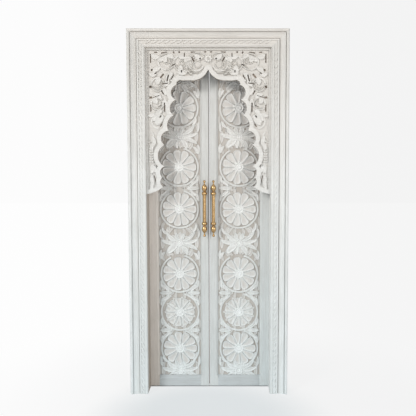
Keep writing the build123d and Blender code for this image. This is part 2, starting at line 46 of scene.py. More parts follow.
leaf_outer = 0.371
panel_ground = 0.0478
panel_back = 0.0598
housing = 0.0075

# Depths on the casing between which the wash thins, with painted shade in its grooves
casing_top = front + 0.010
casing_ground = front + 0.018

# The carved field of the left panel
field_inner = 0.0535
field_outer = 0.307
field_bottom = 0.070
field_top = 1.964
field_centre = (field_inner + field_outer) / 2
field_height = field_top - field_bottom
field_margin = 0.0008

# Rosettes and buds, placed by their share of the height of the field, with turns in degrees
ring_radius = 0.11325
ring_width = 0.011
ring_start = 76
ring_sweep = 318
flower_radius = 0.1042
small_flower_radius = 0.0902
petal_count = 11
petal_height = 0.0090
boss_radius = 0.029
boss_height = 0.0085
bud_radius = 0.024
bud_height = 0.0080
rosette_places = [0.088, 0.208, 0.333, 0.541, 0.675, 0.861]
small_rosette = 0.208
bud_places = [0.014, 0.432, 0.77, 0.945]
pair_places = [0.148, 0.2705, 0.608]

# Carved shapes, ribs apart, reach this far below the ground they lie on
foot = 0.002
# High leaves of the panels have a rib where they are this many millimetres wide or more
ribbed_width = 22
rib_half_width = 0.0016
rib_height = 0.0078
rib_crest = 0.0012
# All but the low leaves are carved a little wider than their tables say, so that neighbours meet
leaf_swell = 1.12
low_leaf_height = 0.0052
low_leaf_dish = 0.0030

# The arch board: scrolls, the strokes inside them, leaves and deep slots
scroll_width = 0.0096
scroll_height = 0.0088
stroke_width = 0.0066
stroke_height = 0.0068
arch_leaf_height = 0.0090
arch_leaf_dish = 0.0020
slot_depth = 0.05

# Two columns of teeth on the arch board, and their lean in degrees
tooth_length = 0.0195
tooth_width = 0.0085
tooth_dish = 0.0004
tooth_lean = 28
tooth_count = 6
# Where the teeth lie, in millimetres from the jamb and the head, as in the tables of the arch
tooth_inset = 30
tooth_spread = 17 / 3
tooth_drop = 576
tooth_pitch = 15

# Beads along the ogee, at four distances from it, with turns in degrees
ogee_centre = (-0.0933, 1.9465, 0)
ogee_radius = 0.1006
bead_reaches = [0.034, 0.043, 0.052, 0.061]
bead_start = -80
bead_sweep = 52
bead_width = 0.0045
bead_height = 0.0105

# The small flower over the point of the arch
crown_drop = 0.0605
crown_leaf_count = 8
crown_leaf_length = 0.025
crown_leaf_width = 0.0135
crown_leaf_bend = 0.001
crown_leaf_dish = 0.0018
crown_button_radius = 0.008
crown_button_height = 0.0102


# Working on one piece

def deselect():
    bpy.ops.object.select_all(action="DESELECT")


def work_on(piece):
    """Select one piece alone, to work on it."""
    deselect()
    piece.select_set(True)
    bpy.context.view_layer.objects.active = piece


def edit(kind="VERT"):
    """Open the active piece for editing, with corners or faces to be picked."""
    bpy.ops.object.mode_set(mode="EDIT")
    bpy.ops.mesh.select_mode(type=kind)


def leave_edit():
    bpy.ops.object.mode_set(mode="OBJECT")


def pick_all():
    bpy.ops.mesh.select_all(action="SELECT")


def pick(test):
    """Select the corners whose place passes the test, and what lies between them."""
    data = bpy.context.object.data
    mesh = bmesh.from_edit_mesh(data)
    for vertex in mesh.verts:
        vertex.select_set(bool(test(vertex.co)))
    mesh.select_flush(False)
    mesh.select_flush(True)
    bmesh.update_edit_mesh(data)


def move(across, along, up):
    bpy.ops.transform.translate(value=(across, along, up))


def resize(shares, centre=(0, 0, 0)):
    bpy.ops.transform.resize(value=shares, center_override=centre)


def set_place():
    """Keep the piece where it stands, unturned and unscaled, with its origin at the world's."""
    bpy.ops.object.transform_apply(location=True, rotation=True, scale=True)


def face_outwards():
    edit()
    pick_all()
    bpy.ops.mesh.normals_make_consistent(inside=False)
    leave_edit()


def own_copy(piece):
    """A copy of a piece, with its own mesh."""
    copy = piece.copy()
    copy.data = piece.data.copy()
    bpy.context.scene.collection.objects.link(copy)
    return copy


def set_name(piece, name):
    piece.name = name
    piece.data.name = name


def clear_away(shapes):
    for shape in shapes:
        bpy.data.objects.remove(shape)


def smooth(piece, levels, angle=40):
    """Round a piece with a subdivision surface and smooth shading."""
    work_on(piece)
    if levels:
        rounding = piece.modifiers.new("rounding", "SUBSURF")
        rounding.levels = levels
        rounding.render_levels = levels
        bpy.ops.object.modifier_apply(modifier=rounding.name)
    face_outwards()
    bpy.ops.object.shade_smooth_by_angle(angle=math.radians(angle))


# Outlines, drawn flat along +X and raised along +Z

def columns():
    """The places along X at which the piece in edit mode has corners."""
    mesh = bmesh.from_edit_mesh(bpy.context.object.data)
    return sorted({round(vertex.co.x, 5) for vertex in mesh.verts})


def shape_columns(half_width, bow):
    """Give each column of a unit outline its half width and its sideways bow."""
    for place in columns():
        pick(lambda spot: abs(spot.x - place) < 1e-4)
        mesh = bmesh.from_edit_mesh(bpy.context.object.data)
        reach = max(abs(vertex.co.y) for vertex in mesh.verts if vertex.select)
        share = (place + 1) / 2
        if reach > 1e-5:
            resize((1, half_width(share) / reach, 1), (place, 0, 0))
        move(0, bow(share), 0)


def new_outline(name, corners, length, half_width, bow, start=0.0):
    """A flat outline, from a circle whose columns get their widths by their share of the length."""
    deselect()
    bpy.ops.mesh.primitive_circle_add(vertices=corners, radius=1, fill_type="NGON")
    piece = bpy.context.object
    piece.name = name
    edit()
    shape_columns(half_width, bow)
    pick_all()
    move(1, 0, 0)
    resize((length / 2, 1, 1))
    move(start, 0, 0)
    bpy.ops.mesh.select_mode(type="FACE")
    pick_all()
    return piece


def straight(share):
    """The bow of an outline that isn't bowed."""
    return 0.0


def bowed(bend):
    """The bow of an outline whose middle stands out sideways."""
    return lambda share: bend * (1 - (2 * share - 1) ** 2)


def raise_face(height):
    bpy.ops.mesh.extrude_region_move(TRANSFORM_OT_translate={"value": (0, 0, height)})


def step_faces(steps, centre):
    """Draw the picked face again and again: shares kept along and across, and a rise."""
    for along, across, rise in steps:
        raise_face(rise)
        resize((along, across, 1), centre)


# Carved shapes, each lying flat with its relief along +Z

def carve_petal(tip):
    """A fan-shaped petal, scooped out inside a raised rim."""
    spread = math.tan(math.pi / petal_count)
    root = boss_radius - 0.004
    length = tip - root
    turn_in = 0.76 * tip
    middle = root + 0.62 * length
    gap_half = 0.0006

    def half_width(share):
        reach = root + share * length
        fan = reach * spread - gap_half
        past = max(0.0, (reach - turn_in) / (tip - turn_in))
        return max(0.0005, fan * math.sqrt(max(0.0, 1 - past ** 2.4)))

    petal = new_outline("petal", 20, length, half_width, straight, start=root)
    move(0, 0, -foot)
    raise_face(petal_height)
    rim = [(0.97, 0.94, 0.0024), (0.97, 0.93, 0.0)]
    scoop = [(0.95, 0.88, -0.0034), (0.88, 0.72, -0.0024), (0.70, 0.45, -0.0012)]
    step_faces(rim + scoop, (middle, 0, 0))
    leave_edit()
    smooth(petal, 1)
    return petal


def carve_leaf(length, width, bend, height=0.0085, dish=0.0046, corners=16, levels=1):
    """A pointed leaf, bowed sideways and hollowed between its edges."""

    def half_width(share):
        return max(0.0004, width / 2 * (1 - abs(2 * share - 1) ** 2.6) ** 0.75)

    leaf = new_outline("leaf", corners, length, half_width, bowed(bend))
    move(0, 0, -foot)
    raise_face(height)
    rim = [(0.96, 0.86, 0.0024), (0.96, 0.84, 0.0)]
    hollow = [(0.88, 0.55, -dish)]
    step_faces(rim + hollow, (length / 2, bend * 0.7, 0))
    leave_edit()
    smooth(leaf, levels)
    return leaf


def carve_rib(length, bend):
    """The raised rib along the middle of a leaf."""

    def half_width(share):
        return max(0.0003, rib_half_width * (1 - share) ** 0.5)

    rib = new_outline("rib", 12, length, half_width, bowed(bend))
    raise_face(rib_height)
    step_faces([(0.98, 0.7, rib_crest)], (length / 2, bend * 0.7, 0))
    leave_edit()
    smooth(rib, 0)
    return rib


def carve_boss(radius, height):
    """A round boss: a rolled rim about a hollow, with a dimpled button in the middle."""
    deselect()
    bpy.ops.mesh.primitive_circle_add(vertices=24, radius=radius, fill_type="NGON")
    boss = bpy.context.object
    boss.name = "boss"
    edit("FACE")
    pick_all()
    move(0, 0, -foot)
    raise_face(height + foot)
    # Each step inwards: a share of the radius, and how far the face rises
    rim = [(0.09, 0.0026), (0.12, 0.0)]
    hollow = [(0.08, -0.0050), (0.16, -0.0010)]
    button = [(0.05, 0.0044), (0.10, 0.0016), (0.10, 0.0), (0.08, -0.0028)]
    for share, rise in rim + hollow + button:
        bpy.ops.mesh.inset(thickness=radius * share, depth=0)
        move(0, 0, rise)
    leave_edit()
    smooth(boss, 1)
    return boss


def carve_stem(radius, start, sweep, width, height=0.0085):
    """A stem of even width that follows an arc, with a groove along its middle."""
    deselect()
    bpy.ops.mesh.primitive_plane_add(size=1, rotation=(math.pi / 2, 0, 0))
    stem = bpy.context.object
    stem.name = "stem"
    set_place()
    edit()
    pick_all()
    bpy.ops.mesh.subdivide(number_cuts=3)
    # Heights across the stem: low shoulders, two crests and the groove
    heights = {-0.5: 0.70, -0.25: 1.0, 0.0: 0.72, 0.25: 1.0, 0.5: 0.70}
    for place, share in heights.items():
        pick(lambda spot: abs(spot.x - place) < 1e-3)
        resize((1, 1, share), (0, 0, -0.5))
    pick_all()
    move(0, 0, 0.5)
    resize((width, 1, height + foot))
    move(radius, 0, -foot)
    degrees_a_step = 7
    bpy.ops.mesh.spin(
        steps=max(6, int(abs(sweep) / degrees_a_step)),
        angle=math.radians(sweep),
        center=(0, 0, 0),
        axis=(0, 0, 1),
    )
    pick_all()
    bpy.ops.mesh.remove_doubles(threshold=0.00001)
    leave_edit()
    smooth(stem, 0, 60)
    stem.rotation_euler = (0, 0, math.radians(start))
    set_place()
    return stem


def put(pattern, across, up, turn=0.0):
    """A copy of a carved shape, laid flat at a place on the face."""
    copy = own_copy(pattern)
    copy.location = (across, up, 0)
    copy.rotation_euler = (0, 0, math.radians(turn))
    return copy


def stand(shapes, name, ground):
    """Join shapes that lie flat, stand them up, and set their ground at a depth along Y."""
    deselect()
    for shape in shapes:
        shape.select_set(True)
    bpy.context.view_layer.objects.active = shapes[0]
    set_place()
    bpy.ops.object.join()
    piece = bpy.context.object
    set_name(piece, name)
    face_outwards()
    piece.rotation_euler = (math.pi / 2, 0, 0)
    piece.location = (0, ground, 0)
    set_place()
    return piece


# The carved panel of the left leaf

# Beside each rosette: across, up, length, width, bend and angle, in millimetres and degrees
side_leaves = [
    (48, 0, 76, 22, 0, 0),
    (64, 8, 68, 18, 6, 38),
    (64, -8, 68, 18, -6, -38),
    (108, 30, 50, 15, 3, 82),
    (108, -30, 50, 15, -3, -82),
    (-48, 0, 76, 22, 0, 180),
    (-64, 8, 68, 18, -6, 142),
    (-64, -8, 68, 18, 6, 218),
    (-108, 30, 50, 15, -3, 98),
    (-108, -30, 50, 15, 3, 262),
]
bud_leaves = [
    (-7, 18, 46, 22, 5, 108),
    (7, 18, 46, 22, -5, 72),
    (-16, 11, 80, 24, 9, 140),
    (16, 11, 100, 22, -9, 38),
    (-20, 1, 96, 24, 8, 168),
    (20, 2, 96, 20, -8, 14),
    (-14, -12, 80, 38, -6, 219),
    (18, -8, 98, 22, 9, -20),
    (11, -16, 68, 26, 9, -58),
    (-4, -20, 50, 20, -5, 262),
    (-72, 52, 56, 17, 6, 128),
    (-110, 28, 62, 15, 5, 92),
    (-112, -38, 62, 15, -5, 268),
    (-88, -52, 52, 17, -6, 240),
    (78, 66, 58, 17, -6, 66),
    (110, 28, 62, 15, -5, 86),
    (112, -42, 62, 15, 5, 272),
    (84, -56, 54, 17, 6, 300),
]
# Low leaves behind the others, beside each rosette, in the same order
back_leaves = [
    (-20, 116, 44, 18, 4, 96),
    (20, 116, 44, 18, -4, 78),
    (-58, 104, 50, 20, 6, 112),
    (58, 104, 50, 20, -6, 66),
    (-92, 78, 56, 18, 6, 104),
    (92, 78, 56, 18, -6, 74),
    (-118, 44, 60, 14, 3, 92),
    (118, 44, 60, 14, -3, 88),
    (-36, 112, 60, 20, 8, 128),
    (36, 112, 60, 20, -8, 50),
    (-20, -116, 44, 18, -4, 264),
    (20, -116, 44, 18, 4, 282),
    (-58, -104, 50, 20, -6, 248),
    (58, -104, 50, 20, 6, 294),
    (-92, -78, 56, 18, -6, 256),
    (92, -78, 56, 18, 6, 286),
    (-118, -44, 60, 14, -3, 268),
    (118, -44, 60, 14, 3, 272),
    (-36, -112, 60, 20, -8, 232),
    (36, -112, 60, 20, 8, 310),
]

# Low leaves round each bud, and low petals behind the small flower
bud_ground = [(0, 0, 70, 26, 6, 12 + 24 * step) for step in range(15)]
bud_ground += [(side, 38, 72, 24, 0, 270) for side in (-104, 104)]
bud_ground += [(side, 66, 60, 20, 0, 262) for side in (-70, 70)]
petal_turns = [360 * (step + 0.5) / petal_count for step in range(petal_count)]
small_ground = [(0, 0, 99, 34, 0, turn) for turn in petal_turns]


def field_spots(shares):
    """Places on the middle line of the field, from their shares of its height."""
    return [(-field_centre, field_bottom + share * field_height) for share in shares]


def spread_copies(patterns, spots, across, up, angle):
    """Copies of the patterns at every spot, then the patterns are cleared away."""
    laid = []
    for x, z in spots:
        for pattern in patterns:
            laid.append(put(pattern, x + across / 1000, z + up / 1000, angle))
    clear_away(patterns)
    return laid


def leaf_rows(rows, spots):
    """High leaves, one to a row, the broad ones with a rib."""
    laid = []
    for across, up, length, width, bend, angle in rows:
        patterns = [carve_leaf(length / 1000, width / 1000 * leaf_swell, bend / 1000)]
        if width >= ribbed_width:
            patterns.append(carve_rib(length / 1000, bend / 1000))
        laid += spread_copies(patterns, spots, across, up, angle)
    return laid


def low_leaves(rows, spots):
    """Low leaves that fill the ground behind the others, one to a row."""
    laid = []
    for across, up, length, width, bend, angle in rows:
        leaf = carve_leaf(
            length / 1000,
            width / 1000,
            bend / 1000,
            low_leaf_height,
            low_leaf_dish,
            corners=12,
            levels=0,
        )
        laid += spread_copies([leaf], spots, across, up, angle)
    return laid


def carve_flowers():
    """Every rosette with its ring, and the buds between them."""
    petal = carve_petal(flower_radius)
    small_petal = carve_petal(small_flower_radius)
    boss = carve_boss(boss_radius, boss_height)
    ring = carve_stem(ring_radius, ring_start, ring_sweep, ring_width)
    bud = carve_boss(bud_radius, bud_height)
    laid = []
    for share, (x, z) in zip(rosette_places, field_spots(rosette_places)):
        kind = small_petal if share == small_rosette else petal
        for step in range(petal_count):
            laid.append(put(kind, x, z, 360 * step / petal_count))
        laid.append(put(boss, x, z))
        laid.append(put(ring, x, z))
    for x, z in field_spots(bud_places):
        laid.append(put(bud, x, z))
    clear_away([petal, small_petal, boss, ring, bud])
    return laid


def cut_to_field(carving):
    """Cut off what reaches past the edges of the carved field."""
    edges = [
        ((-field_outer + field_margin, 0, 0), (-1, 0, 0)),
        ((-field_inner - field_margin, 0, 0), (1, 0, 0)),
        ((0, 0, field_bottom + field_margin), (0, 0, -1)),
        ((0, 0, field_top - field_margin), (0, 0, 1)),
    ]
    work_on(carving)
    edit()
    for place, outwards in edges:
        pick_all()
        bpy.ops.mesh.bisect(
            plane_co=place, plane_no=outwards, use_fill=True, clear_outer=True
        )
    leave_edit()


def board(low, high):
    """A plain board between two corners, with its edges eased."""
    deselect()
    bpy.ops.mesh.primitive_cube_add(size=1)
    piece = bpy.context.object
    edit()
    pick_all()
    resize([b - a for a, b in zip(low, high)])
    move(*[(a + b) / 2 for a, b in zip(low, high)])
    bpy.ops.mesh.select_mode(type="EDGE")
    pick_all()
    bpy.ops.mesh.bevel(offset=0.0006, segments=1, affect="EDGES")
    leave_edit()
    return piece


def carve_panel():
    """The carving of one panel on its board, which sits in the grooves of the leaf."""
    rosettes = field_spots(rosette_places)
    buds = field_spots(bud_places)
    shapes = carve_flowers()
    shapes += low_leaves(back_leaves, rosettes)
    shapes += low_leaves(bud_ground, buds)
    shapes += low_leaves(small_ground, field_spots([small_rosette]))
    shapes += leaf_rows(side_leaves, field_spots(pair_places))
    shapes += leaf_rows(bud_leaves, buds)
    carving = stand(shapes, "left_panel_carving", panel_ground)
    cut_to_field(carving)
    slab = board(
        (-field_outer - housing, panel_ground, field_bottom - housing),
        (-field_inner + housing, panel_back, field_top + housing),
    )
    work_on(carving)
    slab.select_set(True)
    bpy.ops.object.join()
    bpy.ops.object.shade_smooth_by_angle(angle=math.radians(40))
    return carving


# The carving of the arch board: its left half, which the right half mirrors

# Scrolls: inset from the jamb, drop from the head, radius, start and sweep, in millimetres
# and degrees
arch_stems = [
    (300, 92, 66, 190, 140),
    (292, 84, 46, 185, 150),
    (208, 86, 44, 20, 200),
    (120, 78, 46, 150, 240),
    (70, 208, 38, 60, 250),
    (66, 318, 34, 100, 250),
    (74, 418, 40, 120, 150),
    (10, 505, 34, -60, 110),
    (52, 690, 26, 110, 140),
    (14, 745, 24, -70, 130),
]
# Lower strokes inside the scrolls, with the same measures
arch_strokes = [
    (300, 92, 54, 196, 128),
    (300, 92, 43, 200, 120),
    (300, 92, 32, 205, 110),
    (300, 92, 50, 330, 150),
    (300, 92, 37, 320, 160),
    (300, 92, 20, 0, 330),
    (292, 84, 22, 180, 150),
    (208, 86, 33, 20, 190),
    (208, 86, 22, 30, 180),
    (208, 86, 12, 0, 330),
    (120, 78, 35, 160, 220),
    (120, 78, 24, 170, 200),
    (120, 78, 12, 0, 330),
    (70, 208, 27, 70, 230),
    (70, 208, 16, 80, 210),
    (66, 318, 23, 110, 230),
    (74, 418, 29, 125, 140),
    (74, 418, 18, 130, 130),
    (10, 505, 23, -55, 100),
    (52, 690, 16, 115, 130),
]
# Leaves: inset, drop, length, width, bend and angle
arch_leaves = [
    (330, 62, 56, 26, 8, 150),
    (268, 60, 50, 25, -7, 200),
    (246, 130, 65, 25, 8, 190),
    (236, 52, 48, 23, 7, 170),
    (204, 96, 43, 26, 7, 250),
    (196, 150, 67, 29, 9, 215),
    (166, 60, 48, 25, -7, 160),
    (160, 140, 63, 28, -9, 235),
    (128, 170, 54, 25, 8, 250),
    (118, 84, 43, 32, 8, 90),
    (112, 60, 39, 23, -6, 210),
    (84, 54, 56, 28, 8, 160),
    (88, 110, 56, 26, -7, 215),
    (66, 146, 48, 25, 7, 180),
    (140, 206, 43, 23, 6, 240),
    (106, 226, 50, 25, -7, 300),
    (66, 210, 43, 29, 7, 60),
    (44, 262, 56, 25, 8, 330),
    (112, 286, 50, 25, 6, 255),
    (66, 320, 39, 28, 7, 100),
    (98, 352, 54, 26, -8, 230),
    (52, 372, 43, 23, 6, 200),
    (60, 440, 71, 44, 6, 55),
    (42, 420, 54, 20, -6, 75),
    (34, 500, 65, 23, 7, 280),
    (46, 540, 50, 22, -6, 255),
    (36, 670, 48, 20, 6, 290),
    (28, 720, 52, 22, -6, 80),
    (44, 786, 60, 22, 7, 100),
    (24, 818, 54, 20, -6, 85),
]
# Deep slots between the leaves: inset, drop, length, width and angle
arch_slots = [
    (60, 24, 18, 7, 0),
    (108, 26, 34, 7, 8),
    (164, 25, 13, 8, -50),
    (195, 23, 10, 9, 0),
    (225, 39, 24, 6, 90),
    (274, 23, 26, 7, 0),
    (345, 22, 12, 8, 0),
    (274, 64, 28, 8, -62),
    (316, 61, 10, 9, 30),
    (30, 58, 52, 7, 90),
    (37, 124, 12, 11, 20),
    (59, 144, 15, 6, 30),
    (95, 158, 30, 11, 50),
    (129, 171, 40, 8, 76),
    (155, 166, 30, 6, 65),
    (161, 97, 22, 6, 33),
    (208, 133, 14, 7, 90),
    (112, 202, 38, 6, 8),
    (29, 221, 15, 14, 0),
    (29, 281, 17, 12, 0),
    (60, 276, 42, 4, 15),
    (98, 252, 26, 7, -58),
    (29, 342, 40, 7, 90),
    (109, 337, 52, 7, 90),
    (80, 331, 24, 5, 30),
    (85, 391, 15, 8, 50),
    (88, 440, 22, 7, 55),
    (66, 683, 30, 5, -60),
    (52, 758, 56, 5, -75),
]


def arch_place(inset, drop):
    """A place on the face, from its inset from the jamb and its drop from the head."""
    return inset / 1000 - opening_half, opening_top - drop / 1000


def lay(shape, inset, drop, angle=0):
    """Lay a carved shape at its place on the arch board."""
    shape.location = (*arch_place(inset, drop), 0)
    shape.rotation_euler = (0, 0, math.radians(angle))
    return shape


def slot_cutter(inset, drop, length, width, angle):
    """A block that clears one deep slot."""
    deselect()
    bpy.ops.mesh.primitive_cube_add(size=1)
    block = bpy.context.object
    edit()
    pick_all()
    resize((length / 1000, width / 1000, slot_depth))
    leave_edit()
    return lay(block, inset, drop, angle)


def half_span(shape):
    return max(shape.dimensions.x, shape.dimensions.y) / 2


def clear_slots(shape, cutters):
    """Cut the slots that a carved shape may cover."""
    corners = (Vector(corner) for corner in shape.bound_box)
    middle = shape.matrix_world @ (sum(corners, Vector()) / 8)
    reach = half_span(shape)
    work_on(shape)
    for cutter in cutters:
        if (cutter.location.xy - middle.xy).length < reach + half_span(cutter):
            cut = shape.modifiers.new("slot", "BOOLEAN")
            cut.operation = "DIFFERENCE"
            cut.solver = "EXACT"
            cut.object = cutter
            bpy.ops.object.modifier_apply(modifier=cut.name)


def carve_teeth():
    """Two columns of short teeth that lean opposite ways."""
    tooth = carve_leaf(tooth_length, tooth_width, 0.0, scroll_height, tooth_dish, levels=0)
    teeth = []
    for side in (-1, 1):
        angle = tooth_lean * side
        turn = math.radians(angle)
        for step in range(tooth_count):
            x, z = arch_place(tooth_inset + side * tooth_spread, tooth_drop + tooth_pitch * step)
            x -= tooth_length / 2 * math.cos(turn)
            z -= tooth_length / 2 * math.sin(turn)
            teeth.append(put(tooth, x, z, angle))
    clear_away([tooth])
    return teeth


def carve_arch():
    """Scrolls, strokes, leaves and teeth with their slots, and the beads along the ogee."""
    cutters = [slot_cutter(*row) for row in arch_slots]
    shapes = []
    for inset, drop, radius, start, sweep in arch_stems:
        stem = carve_stem(radius / 1000, start, sweep, scroll_width, scroll_height)
        shapes.append(lay(stem, inset, drop))
    for inset, drop, radius, start, sweep in arch_strokes:
        stroke = carve_stem(radius / 1000, start, sweep, stroke_width, stroke_height)
        shapes.append(lay(stroke, inset, drop))
    for inset, drop, length, width, bend, angle in arch_leaves:
        leaf = carve_leaf(
            length / 1000,
            width / 1000 * leaf_swell,
            bend / 1000,
            arch_leaf_height,
            arch_leaf_dish,
        )
        shapes.append(lay(leaf, inset, drop, angle))
    shapes += carve_teeth()
    bpy.context.view_layer.update()
    for shape in shapes:
        clear_slots(shape, cutters)
    clear_away(cutters)
    for reach in bead_reaches:
        radius = ogee_radius - reach
        bead = carve_stem(radius, bead_start, bead_sweep, bead_width, bead_height)
        bead.location = ogee_centre
        shapes.append(bead)
    return stand(shapes, "left_arch_carving", arch_ground)


def carve_crown():
    """The small flower over the point of the arch."""
    height = opening_top - crown_drop
    leaf = carve_leaf(
        crown_leaf_length, crown_leaf_width, crown_leaf_bend, scroll_height, crown_leaf_dish
    )
    button = carve_boss(crown_button_radius, crown_button_height)
    turn = 360 / crown_leaf_count
    shapes = [put(leaf, 0, height, turn * step) for step in range(crown_leaf_count)]
    shapes.append(put(button, 0, height))
    clear_away([leaf, button])
    return stand(shapes, "crown_flower", arch_ground)


left_panel = carve_panel()

# Both leaves carry the same pattern, turned the same way
right_panel = own_copy(left_panel)
set_name(right_panel, "right_panel_carving")
right_panel.location = (2 * field_centre, 0, 0)
work_on(right_panel)
set_place()

left_arch = carve_arch()
right_arch = own_copy(left_arch)
set_name(right_arch, "right_arch_carving")
right_arch.scale = (-1, 1, 1)
work_on(right_arch)
set_place()
face_outwards()

crown = carve_crown()


# Building materials from nodes

def node(tree, kind, place, **values):
    made = tree.nodes.new(kind)
    made.location = place
    for key, value in values.items():
        setattr(made, key, value)
    return made


def feed(tree, socket, value):
    """Give a socket another node's output, or a plain number or colour."""
    if isinstance(value, bpy.types.NodeSocket):
        tree.links.new(value, socket)
    else:
        socket.default_value = value


def maths(tree, operation, place, *terms, clamp=False):
    made = node(tree, "ShaderNodeMath", place, operation=operation, use_clamp=clamp)
    for socket, term in zip(made.inputs, terms):
        feed(tree, socket, term)
    return made.outputs["Value"]


def map_range(tree, value, place, low, high, to_low=0.0, to_high=1.0, kind="LINEAR"):
    """Carry a value from one span to another, and hold it at the ends."""
    made = node(tree, "ShaderNodeMapRange", place, interpolation_type=kind)
    made.inputs["From Min"].default_value = low
    made.inputs["From Max"].default_value = high
    made.inputs["To Min"].default_value = to_low
    made.inputs["To Max"].default_value = to_high
    tree.links.new(value, made.inputs["Value"])
    return made.outputs["Result"]


def mix_colours(tree, place, factor, first, second, blend="MIX"):
    made = node(tree, "ShaderNodeMix", place, data_type="RGBA", blend_type=blend)
    feed(tree, made.inputs["Factor"], factor)
    feed(tree, made.inputs["A"], first)
    feed(tree, made.inputs["B"], second)
    return made.outputs["Result"]


def ramp(tree, value, place, *stops):
    """A colour ramp between two stops, each a position and a colour."""
    made = node(tree, "ShaderNodeValToRGB", place)
    for element, (position, colour) in zip(made.color_ramp.elements, stops):
        element.position = position
        element.color = (*colour, 1)
    tree.links.new(value, made.inputs["Fac"])
    return made.outputs["Color"]


def split(tree, vector, place):
    made = node(tree, "ShaderNodeSeparateXYZ", place)
    tree.links.new(vector, made.inputs["Vector"])
    return made.outputs


def new_material(name):
    material = bpy.data.materials.new(name)
    material.use_nodes = True
    tree = material.node_tree
    return material, tree, tree.nodes["Principled BSDF"]


def object_place(tree, place):
    return node(tree, "ShaderNodeTexCoord", place).outputs["Object"]


# Limewashed teak, with painted light and shade in its tints and hollows

def grain(tree, spot, along, scale, stretch, detail, height):
    """Noise drawn out along the grain, which runs along X or Z."""
    mapping = node(tree, "ShaderNodeMapping", (-1200, height))
    if along == "Z":
        mapping.inputs["Scale"].default_value = (scale, scale, scale * stretch)
    else:
        mapping.inputs["Scale"].default_value = (scale * stretch, scale, scale)
    tree.links.new(spot, mapping.inputs["Vector"])
    noise = node(tree, "ShaderNodeTexNoise", (-1000, height))
    noise.inputs["Scale"].default_value = 1.0
    noise.inputs["Detail"].default_value = detail
    noise.inputs["Roughness"].default_value = 0.6
    tree.links.new(mapping.outputs["Vector"], noise.inputs["Vector"])
    return noise.outputs["Fac"]


def wash_colour(tree, height, streaks, patches, tint, floor_light_and_shade_tint, head_shade_tint):
    """The wash: thin in streaks, with painted cool light and painted shade towards the floor, painted
    shade towards the head, and a little clouded.
    """
    thin = (tint[0] * 0.90, tint[1] * 0.89, tint[2] * 0.88)
    paint = ramp(tree, streaks, (-760, 300), (0.30, thin), (0.60, tint))
    # Painted light and shade by height: cooler or darker towards the floor, darker towards the head
    floor_light_share = map_range(tree, height, (-1000, 600), 1.5, 0.1)
    paint = mix_colours(tree, (-640, 500), floor_light_share, paint, (*floor_light_and_shade_tint, 1), "MULTIPLY")
    head_shade_share = map_range(tree, height, (-1000, 800), 1.3, 2.0)
    paint = mix_colours(tree, (-580, 700), head_shade_share, paint, (*head_shade_tint, 1), "MULTIPLY")
    cloud = ramp(tree, patches, (-760, 0), (0.35, (0.93, 0.93, 0.925)), (0.65, (1, 1, 1)))
    return mix_colours(tree, (-520, 200), 1.0, paint, cloud, "MULTIPLY")


def hollow_stain_and_shade(tree, depth, patches, top, ground, stain_and_shade):
    """How bare the wood is by depth, as bare teak and painted shade in the hollows: unevenly, from the
    top of the relief to its ground.
    """
    sunk = map_range(tree, depth, (-1000, -600), top, ground, to_high=stain_and_shade)
    lift = maths(tree, "ADD", (-880, -760), patches, 0.35)
    return maths(tree, "MULTIPLY", (-760, -600), sunk, lift)


def meeting_wear_and_shade(tree, across, seam):
    """How bare the wood is beside the line where both leaves meet: rubbed wear, and painted shade in
    the gap between them.
    """
    aside = maths(tree, "ABSOLUTE", (-1000, -900), across)
    return map_range(tree, aside, (-760, -900), seam, seam * 0.7, to_high=0.95)


def painted_wood(
    name,
    along="Z",
    ground=None,
    top=None,
    stain_and_shade=0.45,
    wear=0.35,
    tint=(0.80, 0.79, 0.765),
    # Painted cool light towards the floor, and painted shade towards the head
    floor_light_and_shade_tint=(0.95, 1.02, 1.06),
    head_shade_tint=(1, 1, 1),
    seam=0.0,
):
    """White wash over brown teak, which shows where the wash is worn or did not reach, and as painted
    shade in the hollows and beside the meeting line; its tints towards the floor and the head are
    painted light and shade.
    """
    material, tree, shader = new_material(name)
    shader.inputs["Roughness"].default_value = 0.62
    shader.inputs["Specular IOR Level"].default_value = 0.3
    spot = object_place(tree, (-1400, 0))
    sides = split(tree, spot, (-1200, 600))
    streaks = grain(tree, spot, along, scale=150, stretch=0.03, detail=3, height=300)
    patches = grain(tree, spot, along, scale=22, stretch=0.35, detail=3, height=0)
    fine = grain(tree, spot, along, scale=900, stretch=0.06, detail=2, height=-300)
    wash = wash_colour(tree, sides["Z"], streaks, patches, tint, floor_light_and_shade_tint, head_shade_tint)

    bare = map_range(tree, fine, (-760, -300), 0.60, 0.78, to_high=wear)
    # Bare teak and painted shade deeper in the relief
    if ground is not None:
        sunk = hollow_stain_and_shade(tree, sides["Y"], patches, top, ground, stain_and_shade)
        bare = maths(tree, "MAXIMUM", (-560, -500), bare, sunk)
    # Rubbed wear and painted shade beside the meeting line
    if seam:
        rubbed_and_shaded = meeting_wear_and_shade(tree, sides["X"], seam)
        bare = maths(tree, "MAXIMUM", (-560, -800), bare, rubbed_and_shaded)
    teak = (0.30, 0.235, 0.18, 1)
    colour = mix_colours(tree, (-260, 200), bare, wash, teak)
    tree.links.new(colour, shader.inputs["Base Color"])

    bump = node(tree, "ShaderNodeBump", (-260, -300))
    bump.inputs["Strength"].default_value = 0.25
    bump.inputs["Distance"].default_value = 0.0006
    tree.links.new(streaks, bump.inputs["Height"])
    tree.links.new(bump.outputs["Normal"], shader.inputs["Normal"])
    return material


